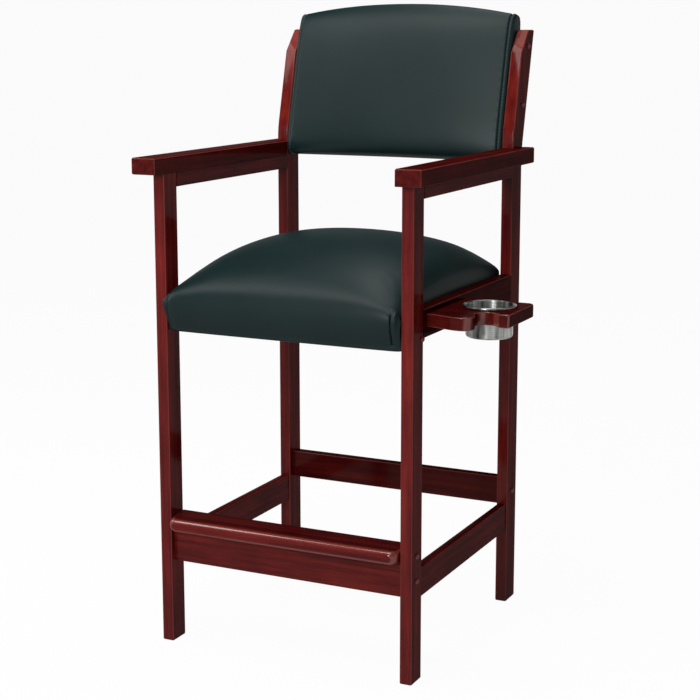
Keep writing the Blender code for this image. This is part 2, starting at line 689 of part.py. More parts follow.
def bolts(frames, tread, foot_rail, front_seat_rail, rear_stretcher, panel):
    """The joints that a key takes apart: each bolt pulls a rail, the tread or the panel to a leg or post."""
    upright = Matrix()
    flat = Matrix.Rotation(pi / 2, 4, "X")
    tread_half = TREAD_THICKNESS / 2
    foot_half = FOOT_RAIL_HEIGHT / 2
    seat_half = FRONT_SEAT_RAIL_HEIGHT / 2
    rear_half = REAR_STRETCHER_HEIGHT / 2
    for (label, side), (leg, post, _) in zip(SIDES, frames):
        at_tread = (upright, FOOT_RAIL_MIDDLE, TREAD_BOTTOM + tread_half, upright, tread_half)
        bolt(label + "_tread", side, *at_tread, leg, tread)
        at_foot = (upright, FOOT_RAIL_MIDDLE, FOOT_RAIL_BOTTOM + foot_half, upright, foot_half)
        bolt(label + "_foot_rail", side, *at_foot, leg, foot_rail)
        at_seat = (upright, FRONT_SEAT_RAIL_MIDDLE, SEAT_BOTTOM + seat_half, upright, seat_half)
        bolt(label + "_seat", side, *at_seat, leg, front_seat_rail)
        at_rear = (upright, POST_MIDDLE, REAR_STRETCHER_BOTTOM + rear_half, upright, rear_half)
        bolt(label + "_rear_stretcher", side, *at_rear, post, rear_stretcher)
        for level, height in (("lower", BACK_BOLT_LOW), ("upper", BACK_BOLT_HIGH)):
            at_back = (BACK_PLACE, 0, height, flat, PANEL_THICKNESS / 2)
            bolt(f"{label}_{level}_back", side, *at_back, post, panel)


def main():
    frames = [side_frame(label, side) for label, side in SIDES]
    foot_rail = cross_rail(
        "foot_rail", FOOT_RAIL_SETBACK, FOOT_RAIL_THICKNESS, FOOT_RAIL_BOTTOM, FOOT_RAIL_HEIGHT
    )
    tread = foot_tread()
    rear_stretcher = cross_rail(
        "rear_stretcher",
        POST_MIDDLE - REAR_STRETCHER_THICKNESS / 2,
        REAR_STRETCHER_THICKNESS,
        REAR_STRETCHER_BOTTOM,
        REAR_STRETCHER_HEIGHT,
    )
    seat_rails = [frame[2] for frame in frames]
    front_seat_rail = seat(seat_rails)
    panel = back()
    cup_board(seat_rails[1])
    bolts(frames, tread, foot_rail, front_seat_rail, rear_stretcher, panel)


clear_scene()
CHAIR = add_origin()
main()
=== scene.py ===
"""Looks of the spectator chair: lacquered mahogany, black-green vinyl cushions with sewn seams, a steel cup.

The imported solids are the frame. The seat, the back and the cup get finer pieces here, and every other node
gets its finish. Metres, +Z up, +Y towards the back of the chair.
"""

import json
from math import cos, pi, radians, sin

import bmesh
import bpy
import numpy as np
from mathutils import Matrix, Vector
from mathutils.bvhtree import BVHTree

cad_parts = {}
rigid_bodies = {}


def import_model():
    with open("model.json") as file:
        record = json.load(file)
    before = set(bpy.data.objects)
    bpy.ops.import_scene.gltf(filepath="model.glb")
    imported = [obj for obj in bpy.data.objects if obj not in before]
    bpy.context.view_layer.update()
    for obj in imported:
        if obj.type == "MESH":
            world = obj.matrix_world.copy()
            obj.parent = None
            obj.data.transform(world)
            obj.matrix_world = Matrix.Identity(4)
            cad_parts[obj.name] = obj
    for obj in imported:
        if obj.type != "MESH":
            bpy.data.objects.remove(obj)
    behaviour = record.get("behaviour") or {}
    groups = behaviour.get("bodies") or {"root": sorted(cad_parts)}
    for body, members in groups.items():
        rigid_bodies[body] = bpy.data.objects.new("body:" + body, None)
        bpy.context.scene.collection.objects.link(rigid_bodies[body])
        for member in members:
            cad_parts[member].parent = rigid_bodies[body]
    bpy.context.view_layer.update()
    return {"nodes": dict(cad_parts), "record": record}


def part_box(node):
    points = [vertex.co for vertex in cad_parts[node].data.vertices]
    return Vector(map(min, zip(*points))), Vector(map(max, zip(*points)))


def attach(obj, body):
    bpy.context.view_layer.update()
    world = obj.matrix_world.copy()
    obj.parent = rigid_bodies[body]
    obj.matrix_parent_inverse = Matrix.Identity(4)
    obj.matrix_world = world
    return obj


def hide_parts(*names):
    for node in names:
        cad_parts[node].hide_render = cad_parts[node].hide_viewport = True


for old in list(bpy.data.objects):
    bpy.data.objects.remove(old, do_unlink=True)
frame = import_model()
BACK_HALF = (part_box("back_cushion")[1].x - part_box("back_cushion")[0].x) / 2

# Seat cushion, the sizes that its solid has too
SEAT_FRONT_RISE = 0.012
SEAT_REAR_RISE = 0.026
SEAT_NOSE = 0.022
SEAT_CORNER = 0.007
SEAT_CORNER_SHARPNESS = 24
CROWN_BREADTH = 2.1
CROWN_FULLNESS = 0.39

# The seat's mesh, and its front roll, which is rounder than its solid's
SEAT_STATIONS = 60
SEAT_FRONT_STEPS = 16
SEAT_TOP_STEPS = 90
FRONT_FULLNESS = 0.54
NOSE_SPREAD = 0.011
NOSE_SPREAD_SHARPNESS = 5
ROLL_REACH = 0.05
ROLL_SMOOTHING = 60

# The sewn darts at the seat's front corners, each with an ear outside it and a fold at its top
DART_INSET = 0.0155
LEFT_DART_INSET = 0.004
DART_DEPTH = 0.0034
DART_WIDTH = 0.0013
DART_FADE = 0.0015
DART_REACH = 0.013
DART_CUTS = 2
DART_SMOOTHING = 4
EAR_RISE = 0.0065
EAR_OUTSIDE = 0.007
EAR_WIDTH = 0.005
EAR_DROP = 0.010
EAR_HEIGHT = 0.020
EAR_SIDE = 0.010
EAR_GAP = 0.002
FOLD_RISE = 0.0024
FOLD_INSIDE = 0.001
FOLD_WIDTH = 0.003
FOLD_LIFT = 0.002
FOLD_HEIGHT = 0.0035

# The cover's hem, wrapped under the deck's rear edge
HEM_THICKNESS = 0.0015
HEM_RISE = 0.008
HEM_REACH = 0.025

# Back cushion, the sizes that its solid has too
LEAN = radians(14)
BACK_HEIGHT = 0.301
BACK_ARCH = 0.023
BACK_THICKNESS = 0.049
BACK_FORWARD = 0.0085
BACK_CROWN = 0.018
BACK_SQUARENESS = 4.5
PANEL_MIDDLE = 0.154

# The back's mesh, and its crisp sides, which the vinyl covers
BACK_STATION = 0.0085
BACK_STEPS = 640
BACK_POINTS = 100
BACK_EDGE_CREASE = 0.9
SIDE_COVER = 0.0007

# The seams that join the back's wrapped front to its flat sides
SEAM_INSET = 0.0080
SEAM_STATIONS = (0.0, 0.002, 0.004, 0.006, 0.008, 0.010, 0.013, 0.018, 0.025)
SEAM_DEPTH = 0.0022
SEAM_WIDTH = 0.0014
SEAM_STRIP_RISE = 0.0010
STITCH_PITCH = 0.0066
STITCH_LENGTH = 0.0046
STITCH_RADIUS = 0.0006
STITCH_BOW = 1.4
STITCH_SUNK = 0.5
STITCH_TIP = 0.45
STITCH_SIDES = 6
STITCH_RINGS = 5
PUCKER_DEPTH = 0.00025
PUCKER_PITCH = 3 * STITCH_PITCH
PUCKER_INSIDE = 0.004
PUCKER_WIDTH = 0.004

# Blowing the cushions up as cloth, and the angle above which an edge of their covers is sharp
SHARP_EDGE = radians(40)
VOXEL = 0.006
DRAWN_IN = 0.004
CLOTH_QUALITY = 3
PRESSURE = 4.0
LAST_FRAME = 20
LEAST_MOVE = 1e-9
SWELL_CAP = 0.0045
CREASES_KEPT = 0.2
TAUTNESS = 60

# Cup
CUP_SIDES = 144
CUP_STEPS = 10
CUP_WALL = 0.0012
CUP_CORNER = 0.005
LIP_WIDTH = 0.0062
LIP_HEIGHT = 0.004

# Camera
CAMERA_PLACE = (1.316, -2.8058, 1.1745)
CAMERA_YAW = radians(25.715)
CAMERA_PITCH = radians(10.195)
CAMERA_LENS = 83.54
CAMERA_SHIFT = (-0.0102, -0.05)

# Stage
FLOOR_RADIUS = 14.0
FLOOR_RINGS = 6
FLOOR_SIDES = 96
FLOOR_SPECKLE = 30.0
FLOOR_TONES = (0.60, 0.64)
FLOOR_ROUGHNESS = 0.9
FLOOR_GLOW = 0.96
RIM_RADIUS = 0.7
RIM_STEPS = 8
RIM_HEIGHT = 4.6

# Softboxes: name, place, target, size and watts
CHAIR_MIDDLE = (0.0, 0.0, 0.7)
SOFTBOXES = (
    ("front", (0.1, -3.3, 1.7), CHAIR_MIDDLE, (0.9, 0.9), 66),
    ("high_left", (-1.9, -1.5, 2.8), CHAIR_MIDDLE, (1.0, 1.0), 28),
    ("overhead_front", (-0.3, -1.5, 2.9), CHAIR_MIDDLE, (1.7, 0.6), 34),
    ("overhead", (0.0, 0.4, 2.8), (0.0, 0.4, 0.0), (1.3, 2.6), 44),
    ("side_left", (-3.0, -0.4, 1.7), CHAIR_MIDDLE, (1.2, 1.6), 34),
    ("side_right", (3.0, 0.4, 1.7), CHAIR_MIDDLE, (1.2, 1.6), 5),
)
WORLD_COLOUR = (1.0, 1.0, 1.0, 1.0)
WORLD_STRENGTH = 0.06

# Which way the grain of each wooden piece runs
WOOD_ALONG_X = ("foot_rail", "foot_tread", "rear_stretcher", "front_seat_rail", "cup_board")
WOOD_ALONG_Y = ("arm", "arm_rail", "seat_rail", "stretcher", "seat_cleat")
WOOD_ALONG_Z = ("front_leg", "rear_post")
SIDES = ("left", "right")

# Mahogany
GRAIN_STRETCH = 0.045
SEED_STEP = (0.371, 0.593, 0.817)
DARK_STAIN = (0.058, 0.0036, 0.0044)
MIDDLE_STAIN = (0.098, 0.0070, 0.0062)
LIGHT_STAIN = (0.135, 0.0120, 0.0082)
PORE_STAIN = (0.016, 0.0012, 0.002, 1.0)
PORE_SHARE = 0.45
# Painted shade: the colour that darkens the faces which look up
TOP_PAINTED_SHADE = (0.55, 0.55, 0.55, 1.0)
TOP_FACING = (0.75, 0.95)
# Painted highlight: a lighter colour mixed onto the rounded edges, and how much of it
EDGE_PAINTED_HIGHLIGHT = (0.20, 0.050, 0.040, 1.0)
EDGE_HIGHLIGHT_SHARE = 0.45
EDGE_FACING = (0.85, 0.955)
LACQUER = 0.036
POLISHED_LACQUER = 0.16
POLISHED = ("foot_tread", "cup_board")
# Painted light and shade: the front legs' colour is lightened and these pieces' colour darkened, each by its
# own tone
LEG_PAINTED_LIGHT = 1.12
PAINTED_SHADE_TONES = {
    "left_arm": 0.62,
    "right_arm": 0.62,
    "cup_board": 0.6,
    "rear_stretcher": 0.5,
    "right_seat_rail": 0.45,
}

# Shading of the solids
WELD_REACH = 0.00001
ROUND_EDGE = radians(50)
FLAT_WEIGHT = 100


class Finish:
    """One material and short calls that build its nodes."""

    def __init__(self, name):
        self.material = bpy.data.materials.new(name)
        self.material.use_nodes = True
        self.tree = self.material.node_tree
        self.shader = self.tree.nodes["Principled BSDF"]

    def set(self, **values):
        """Sets the shader's own sockets, named with _ for a space."""
        for name, value in values.items():
            self.shader.inputs[name.replace("_", " ")].default_value = value

    def add(self, kind, **settings):
        node = self.tree.nodes.new("ShaderNode" + kind)
        for name, value in settings.items():
            setattr(node, name, value)
        return node

    def feed(self, node, socket, value):
        """Puts a number or another node's output into a socket."""
        if isinstance(value, bpy.types.NodeSocket):
            self.tree.links.new(value, node.inputs[socket])
        else:
            node.inputs[socket].default_value = value

    def surface(self, colour, roughness):
        self.feed(self.shader, "Base Color", colour)
        self.feed(self.shader, "Roughness", roughness)

    def coordinates(self, scale=(1, 1, 1), offset=(0, 0, 0), source="Object"):
        """The object's own coordinates, or its faces' directions, stretched and moved."""
        mapping = self.add("Mapping")
        self.feed(mapping, "Vector", self.add("TexCoord").outputs[source])
        mapping.inputs["Scale"].default_value = scale
        mapping.inputs["Location"].default_value = offset
        return mapping.outputs["Vector"]

    def noise(self, vector, scale, detail=3.0, roughness=0.5):
        node = self.add("TexNoise")
        self.feed(node, "Vector", vector)
        self.feed(node, "Scale", scale)
        self.feed(node, "Detail", detail)
        self.feed(node, "Roughness", roughness)
        return node.outputs["Fac"]

    def cells(self, vector, scale, feature):
        node = self.add("TexVoronoi", feature=feature)
        self.feed(node, "Vector", vector)
        self.feed(node, "Scale", scale)
        return node.outputs["Distance"]

    def ramp(self, value, *stops):
        """A colour ramp of (place, colour) stops."""
        node = self.add("ValToRGB")
        elements = node.color_ramp.elements
        while len(elements) < len(stops):
            elements.new(0.5)
        for element, (place, colour) in zip(elements, stops):
            element.position = place
            element.color = (*colour, 1.0)
        self.feed(node, "Fac", value)
        return node.outputs["Color"]

    def span(self, value, low, high, from_low=0.0, from_high=1.0):
        """A value carried from one range to another."""
        node = self.add("MapRange")
        ends = {"From Min": from_low, "From Max": from_high, "To Min": low, "To Max": high}
        for socket, number in ends.items():
            self.feed(node, socket, number)
        self.feed(node, "Value", value)
        return node.outputs["Result"]

    def math(self, operation, first, second):
        node = self.add("Math", operation=operation)
        self.feed(node, 0, first)
        self.feed(node, 1, second)
        return node.outputs[0]

    def blend(self, mode, share, first, second):
        """Two colours mixed."""
        node = self.add("Mix", data_type="RGBA", blend_type=mode)
        self.feed(node, "Factor", share)
        self.feed(node, "A", first)
        self.feed(node, "B", second)
        return node.outputs["Result"]

    def shade(self, colour, share, value, *stops):
        """A colour darkened and lightened by a ramp of (place, grey) stops."""
        greys = self.ramp(value, *((place, (grey, grey, grey)) for place, grey in stops))
        return self.blend("MULTIPLY", share, colour, greys)

    def facing(self):
        """The three parts of the direction that a face looks in."""
        parts = self.add("SeparateXYZ")
        self.feed(parts, "Vector", self.add("TexCoord").outputs["Normal"])
        return parts.outputs

    def rounded_edges(self):
        """1 on the rounded edges of a square piece and 0 on its flat faces."""
        x, y, z = (self.math("ABSOLUTE", part, 0.0) for part in self.facing())
        most = self.math("MAXIMUM", self.math("MAXIMUM", x, y), z)
        return self.span(most, 1.0, 0.0, *EDGE_FACING)

    def tops(self):
        """1 on the faces that look up and 0 on the rest: where the painted shade of the tops goes."""
        return self.span(self.facing()[2], 0.0, 1.0, *TOP_FACING)

    def bump(self, height, distance, strength):
        node = self.add("Bump")
        self.feed(node, "Height", height)
        self.feed(node, "Distance", distance)
        self.feed(node, "Strength", strength)
        self.feed(self.shader, "Normal", node.outputs["Normal"])


def mahogany(name, axis, seed, tone, polished):
    """Red stain on a straight grain along one axis, under lacquer that may be polished at the edges.

    Upward faces are darker, a painted shade, and the rounded edges are lighter, a painted highlight, as the
    photo shows them. Each piece's tone is painted light or shade.
    """
    finish = Finish(name)
    along = [1.0, 1.0, 1.0]
    along[axis] = GRAIN_STRETCH
    offset = tuple(seed * step for step in SEED_STEP)
    grain = finish.coordinates(along, offset)
    figure = finish.noise(grain, scale=85.0, detail=2.0)
    fibre = finish.noise(grain, scale=620.0, detail=2.0, roughness=0.6)
    pores = finish.noise(grain, scale=1700.0, detail=1.0)
    pores = finish.span(pores, 0.0, 1.0, from_low=0.60, from_high=0.74)
    cloud = finish.noise(finish.coordinates(offset=offset), scale=9.0, detail=2.0)
    colour = finish.ramp(figure, (0.28, DARK_STAIN), (0.50, MIDDLE_STAIN), (0.74, LIGHT_STAIN))
    colour = finish.shade(colour, 0.55, fibre, (0.25, 0.55), (0.7, 1.25))
    colour = finish.shade(colour, 0.6, cloud, (0.25, 0.6), (0.75, 1.35))
    colour = finish.blend("MIX", finish.math("MULTIPLY", pores, PORE_SHARE), colour, PORE_STAIN)
    # Painted light and shade: each piece's colour is scaled by its own tone
    colour = finish.blend("MULTIPLY", 1.0, colour, (tone, tone, tone, 1.0))
    # Painted shade: faces that look up are darkened
    colour = finish.blend("MULTIPLY", finish.tops(), colour, TOP_PAINTED_SHADE)
    edges = finish.rounded_edges()
    # Painted highlight: the rounded edges are lightened in the colour
    colour = finish.blend("MIX", finish.math("MULTIPLY", edges, EDGE_HIGHLIGHT_SHARE), colour, EDGE_PAINTED_HIGHLIGHT)
    finish.surface(colour, finish.span(figure, 0.34, 0.46))
    finish.bump(finish.math("SUBTRACT", fibre, pores), distance=0.0002, strength=0.12)
    finish.set(Specular_IOR_Level=0.0, Coat_Weight=LACQUER * tone, Coat_Roughness=0.10, Coat_IOR=2.8)
    if polished:
        finish.feed(finish.shader, "Coat Weight", finish.span(edges, LACQUER * tone, POLISHED_LACQUER))
    return finish.material


def vinyl(name):
    """Black-green upholstery vinyl with a fine pebble grain."""
    finish = Finish(name)
    plain = finish.coordinates()
    pebble = finish.cells(plain, scale=780.0, feature="DISTANCE_TO_EDGE")
    crease = finish.noise(plain, scale=2200.0, detail=2.0)
    cloud = finish.noise(plain, scale=7.0)
    colour = finish.ramp(cloud, (0.3, (0.0038, 0.0112, 0.0116)), (0.7, (0.0052, 0.0147, 0.0151)))
    valley = finish.span(pebble, 0.0, 1.0, from_low=0.0, from_high=0.22)
    # Painted shade: the pebble grain's valleys are darker
    colour = finish.shade(colour, 0.5, valley, (0.0, 0.7), (1.0, 1.05))
    finish.surface(colour, finish.span(cloud, 0.40, 0.50))
    relief = finish.math("ADD", valley, finish.math("MULTIPLY", crease, 0.4))
    finish.bump(relief, distance=0.0002, strength=0.25)
    finish.set(Specular_IOR_Level=0.0, Coat_Weight=0.21, Coat_Roughness=0.41, Coat_IOR=1.65)
    return finish.material


def thread(name):
    """Dark sewing thread with a fine twist."""
    finish = Finish(name)
    twist = finish.noise(finish.coordinates(), scale=3200.0, detail=2.0)
    colour = finish.ramp(twist, (0.3, (0.018, 0.026, 0.027)), (0.7, (0.045, 0.060, 0.060)))
    finish.surface(colour, finish.span(twist, 0.5, 0.7))
    finish.bump(twist, distance=0.0001, strength=0.3)
    return finish.material


def stainless(name):
    """Stainless steel brushed round the cup's axis, with lighter and darker bands of painted reflection
    round it.
    """
    finish = Finish(name)
    brushed = finish.noise(finish.coordinates((6, 6, 2600)), scale=1.0, roughness=0.65)
    cloud = finish.noise(finish.coordinates(), scale=45.0, detail=2.0)
    # Painted reflection: lighter and darker bands by the way a face looks round the cup
    painted_reflection_bands = finish.noise(finish.coordinates((1, 1, 0), source="Normal"), scale=2.6, detail=2.0)
    colour = finish.ramp(brushed, (0.3, (0.24, 0.25, 0.235)), (0.7, (0.46, 0.47, 0.45)))
    colour = finish.shade(colour, 0.8, painted_reflection_bands, (0.42, 0.3), (0.58, 1.2))
    rough = finish.math("ADD", finish.span(brushed, 0.30, 0.40), finish.span(cloud, -0.03, 0.03))
    finish.surface(colour, rough)
    finish.bump(brushed, distance=0.0001, strength=0.06)
    tangent = finish.add("Tangent", direction_type="RADIAL", axis="Z")
    finish.feed(finish.shader, "Tangent", tangent.outputs["Tangent"])
    finish.set(Metallic=1.0, Anisotropic=0.93, Anisotropic_Rotation=0.25)
    return finish.material


def painted_steel(name):
    """Glossy bolt paint in the colour of the wood."""
    finish = Finish(name)
    cloud = finish.noise(finish.coordinates(), scale=260.0)
    colour = finish.ramp(cloud, (0.3, (0.085, 0.006, 0.010)), (0.7, (0.130, 0.011, 0.016)))
    finish.surface(colour, finish.span(cloud, 0.20, 0.30))
    finish.bump(cloud, distance=0.0002, strength=0.05)
    finish.set(Specular_IOR_Level=0.0, Coat_Weight=0.2, Coat_Roughness=0.08, Coat_IOR=2.2)
    return finish.material


def plywood(name):
    """Bare plywood: pale veneers in layers across its thickness and a soft grain on its faces."""
    finish = Finish(name)
    grain = finish.noise(finish.coordinates((0.05, 1, 1)), scale=120.0)
    layers = finish.noise(finish.coordinates((0.01, 0.01, 1)), scale=420.0, detail=0.0)
    colour = finish.ramp(grain, (0.3, (0.30, 0.18, 0.085)), (0.7, (0.48, 0.32, 0.17)))
    colour = finish.shade(colour, 0.5, layers, (0.4, 0.6), (0.6, 1.1))
    finish.surface(colour, finish.span(grain, 0.62, 0.78))
    finish.bump(grain, distance=0.0003, strength=0.2)
    return finish.material


def zinc(name):
    """Zinc plate with a faint spangle."""
    finish = Finish(name)
    spangle = finish.cells(finish.coordinates(), scale=900.0, feature="F1")
    colour = finish.ramp(spangle, (0.1, (0.45, 0.45, 0.47)), (0.6, (0.62, 0.62, 0.64)))
    finish.surface(colour, finish.span(spangle, 0.30, 0.45))
    finish.bump(spangle, distance=0.0001, strength=0.05)
    finish.set(Metallic=1.0)
    return finish.material


def smooth_nodes():
    """A node group that welds a solid's facets and shades its round edges smooth."""
    group = bpy.data.node_groups.new("smooth_round_edges", "GeometryNodeTree")
    group.interface.new_socket("Geometry", in_out="INPUT", socket_type="NodeSocketGeometry")
    group.interface.new_socket("Geometry", in_out="OUTPUT", socket_type="NodeSocketGeometry")
    add = group.nodes.new
    start, end = add("NodeGroupInput"), add("NodeGroupOutput")
    forget = add("GeometryNodeRemoveAttribute")
    forget.inputs["Name"].default_value = "custom_normal"
    weld = add("GeometryNodeMergeByDistance")
    weld.inputs["Distance"].default_value = WELD_REACH
    faces, edges = add("GeometryNodeSetShadeSmooth"), add("GeometryNodeSetShadeSmooth")
    edges.domain = "EDGE"
    angle = add("GeometryNodeInputMeshEdgeAngle")
    gentle = add("FunctionNodeCompare")
    gentle.operation = "LESS_THAN"
    gentle.inputs["B"].default_value = ROUND_EDGE
    join = group.links.new
    join(start.outputs[0], forget.inputs["Geometry"])
    join(forget.outputs[0], weld.inputs["Geometry"])
    join(weld.outputs[0], faces.inputs["Geometry"])
    join(faces.outputs[0], edges.inputs["Geometry"])
    join(angle.outputs["Unsigned Angle"], gentle.inputs["A"])
    join(gentle.outputs[0], edges.inputs["Shade Smooth"])
    join(edges.outputs[0], end.inputs[0])
    return group


def add_mesh(name, points, faces):
    mesh = bpy.data.meshes.new(name)
    mesh.from_pydata([tuple(point) for point in points], [], faces)
    mesh.validate()
    made = bpy.data.objects.new(name, mesh)
    bpy.context.scene.collection.objects.link(made)
    return made


def outward(piece):
    """Turns a closed mesh's faces out."""
    bm = bmesh.new()
    bm.from_mesh(piece.data)
    bmesh.ops.recalc_face_normals(bm, faces=bm.faces)
    bm.to_mesh(piece.data)
    bm.free()


def loft(name, sections):
    """A closed mesh through closed sections that all have the same number of points."""
    count = len(sections[0])
    points = [point for section in sections for point in section]
    faces = []
    for row in range(len(sections) - 1):
        for i in range(count):
            j = (i + 1) % count
            faces.append((row * count + i, row * count + j, (row + 1) * count + j, (row + 1) * count + i))
    last = (len(sections) - 1) * count
    faces.append(tuple(reversed(range(count))))
    faces.append(tuple(range(last, last + count)))
    made = add_mesh(name, points, faces)
    outward(made)
    return made


def swell(share, fullness=CROWN_FULLNESS):
    """How full a cushion is at a share of the way from its middle to its edge."""
    return max(0.0, 1.0 - abs(share) ** CROWN_BREADTH) ** fullness


def signed_power(value, power):
    return abs(value) ** power * np.sign(value)


def bell(distance, width):
    return np.exp(-((distance / width) ** 2))


def seat_form():
    """The seat cushion's crowned form, finer than its solid."""
    low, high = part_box("seat_cushion")
    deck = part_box("seat_deck")[1].z
    rail_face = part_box("front_seat_rail")[0].y
    legs_front = low.y + SEAT_NOSE
    middle, half = (low.x + high.x) / 2, (high.x - low.x) / 2 + DRAWN_IN
    front_edge, rear_edge = deck + SEAT_FRONT_RISE, deck + SEAT_REAR_RISE
    crown = high.z - (front_edge + rear_edge) / 2
    sections = []
    for k in range(-SEAT_STATIONS, SEAT_STATIONS + 1):
        share = sin(pi / 2 * k / SEAT_STATIONS)
        drawn_in = legs_front + SEAT_CORNER * abs(share) ** SEAT_CORNER_SHARPNESS
        nose = drawn_in - SEAT_NOSE
        outline = [(high.y, deck), (rail_face, deck), (rail_face, low.z)]
        for step in range(SEAT_FRONT_STEPS):
            rise = step / SEAT_FRONT_STEPS
            bulge = (nose - drawn_in) * sin(rise * pi / 2)
            outline.append((drawn_in + bulge, low.z + (front_edge - low.z) * rise))
        for step in range(SEAT_TOP_STEPS + 1):
            back = (1 - cos(pi * step / SEAT_TOP_STEPS)) / 2
            edge = front_edge + (rear_edge - front_edge) * back
            rolled = swell(2 * back - 1, FRONT_FULLNESS if back < 0.5 else CROWN_FULLNESS)
            outline.append((nose + (high.y - nose) * back, edge + crown * swell(share) * rolled))
        sections.append([(middle + share * half, y, z) for y, z in outline])
    return loft("seat_cover", sections)


def back_place():
    """The leaning frame of the back: its origin at the middle of the cushion's lower edge."""
    low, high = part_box("back_panel")
    lean = Matrix.Translation((low + high) / 2) @ Matrix.Rotation(-LEAN, 4, "X")
    return lean @ Matrix.Translation((0, 0, -PANEL_MIDDLE))


def in_back_frame(points):
    """Points seen from the back's own frame."""
    turn = np.array(back_place().inverted())
    return points @ turn[:3, :3].T + turn[:3, 3]


def back_section(share, inset=0.0):
    """One closed section of the back, in its own frame, at a share of the way from middle to side."""
    power = 2 / BACK_SQUARENESS
    rear = BACK_THICKNESS / 2 - inset
    front = rear + BACK_CROWN * swell(share)
    middle = (BACK_HEIGHT + BACK_ARCH * (1 - share**2)) / 2
    outline = []
    for step in range(BACK_STEPS + 1):
        turn = 2 * pi * (step + 0.5) / BACK_STEPS
        across = signed_power(cos(turn), power)
        depth = across * (rear if across > 0 else front) - BACK_FORWARD
        outline.append((depth, middle + (middle - inset) * signed_power(sin(turn), power)))
    outline = np.array(outline)
    lengths = np.cumsum(np.r_[0, np.linalg.norm(np.diff(outline, axis=0), axis=1)])
    even = np.linspace(0, lengths[-1], BACK_POINTS, endpoint=False)
    depths, heights = (np.interp(even, lengths, values) for values in outline.T)
    side = share * (BACK_HALF + SIDE_COVER)
    return [Vector((side, depth, height)) for depth, height in zip(depths, heights)]


def back_form():
    """The back cushion's form, drawn in: flat sides, a crowned front, rolled edges and an arched top."""
    place = back_place()
    plain = BACK_HALF - SEAM_STATIONS[-1]
    count = round(plain / BACK_STATION)
    insets = [*SEAM_STATIONS, *(SEAM_STATIONS[-1] + plain * i / count for i in range(1, count + 1))]
    shares = [1 - inset / BACK_HALF for inset in insets]
    shares = [-share for share in shares[:-1]] + shares[::-1]
    sections = [[place @ point for point in back_section(share, DRAWN_IN)] for share in shares]
    return loft("back_cover", sections)


def points_of(mesh):
    flat = np.empty(len(mesh.vertices) * 3)
    mesh.vertices.foreach_get("co", flat)
    return flat.reshape(-1, 3)


def normals_of(mesh):
    flat = np.empty(len(mesh.vertices) * 3)
    mesh.vertex_normals.foreach_get("vector", flat)
    return flat.reshape(-1, 3)


def edges_of(mesh):
    return np.array([edge.vertices for edge in mesh.edges])


def put_points(mesh, points):
    mesh.vertices.foreach_set("co", points.ravel())
    mesh.update()


def settle(piece):
    """Makes a piece's modifiers part of its mesh."""
    shape = piece.evaluated_get(bpy.context.evaluated_depsgraph_get())
    mesh = bpy.data.meshes.new_from_object(shape)
    piece.modifiers.clear()
    piece.data = mesh


def spread(values, edges, rounds):
    """Evens out a value on each point of a mesh with those of the points next to it."""
    neighbours = np.bincount(edges.ravel(), minlength=len(values))[:, None]
    for _ in range(rounds):
        total = np.zeros_like(values)
        np.add.at(total, edges[:, 0], values[edges[:, 1]])
        np.add.at(total, edges[:, 1], values[edges[:, 0]])
        values = (values + total / neighbours) / 2
    return values


def draw_in(piece, resting):
    """Remeshes a form evenly and draws it in, except where it rests on something. Returns what rests."""
    piece.modifiers.new("even", "REMESH").voxel_size = VOXEL
    settle(piece)
    form = points_of(piece.data)
    rests = resting(form)
    put_points(piece.data, form - DRAWN_IN * normals_of(piece.data) * ~rests[:, None])
    return rests


def inflate(piece, held):
    """Blows a drawn-in form up as cloth, within a cap of where each point started.

    held says which points are sewn or stapled down and don't swell. The cover is taut over its foam, so only
    a share of the creases stays.
    """
    form = points_of(piece.data)
    pins = piece.vertex_groups.new(name="held")
    pins.add(np.flatnonzero(held).tolist(), 1.0, "REPLACE")
    cloth = piece.modifiers.new("blow_up", "CLOTH")
    cloth.collision_settings.use_collision = False
    cloth.settings.quality = CLOTH_QUALITY
    cloth.settings.vertex_group_mass = pins.name
    cloth.settings.use_pressure = True
    cloth.settings.uniform_pressure_force = PRESSURE
    cloth.settings.effector_weights.gravity = 0
    for moment in range(1, LAST_FRAME + 1):
        bpy.context.scene.frame_set(moment)
    settle(piece)
    bpy.context.scene.frame_set(1)
    moved = points_of(piece.data) - form
    reach = np.maximum(np.linalg.norm(moved, axis=1, keepdims=True), LEAST_MOVE)
    moved *= SWELL_CAP * np.tanh(reach / SWELL_CAP) / reach
    taut = spread(moved, edges_of(piece.data), TAUTNESS)
    put_points(piece.data, form + taut + (moved - taut) * CREASES_KEPT)
    piece.vertex_groups.clear()


def divide(piece):
    """Divides every face once and rounds the form."""
    piece.modifiers.new("divide", "SUBSURF").levels = 1
    settle(piece)


def crease_sides(piece, at_side):
    """Keeps the edges between points at a side crisp."""
    creases = piece.data.attributes.new("crease_edge", "FLOAT", "EDGE")
    kept = at_side[edges_of(piece.data)].all(axis=1)
    creases.data.foreach_set("value", np.where(kept, BACK_EDGE_CREASE, 0.0))


def soften_roll(piece):
    """Rounds off the seat's front roll, most along its nose."""
    low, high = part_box("seat_cushion")
    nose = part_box("seat_deck")[1].z + SEAT_FRONT_RISE
    points = points_of(piece.data)
    share = bell(np.hypot(points[:, 1] - low.y, points[:, 2] - nose), ROLL_REACH)
    points += share[:, None] * (spread(points, edges_of(piece.data), ROLL_SMOOTHING) - points)
    from_middle = (points[:, 0] - (low.x + high.x) / 2) / ((high.x - low.x) / 2)
    points[:, 0] += NOSE_SPREAD * share * signed_power(from_middle, NOSE_SPREAD_SHARPNESS)
    put_points(piece.data, points)


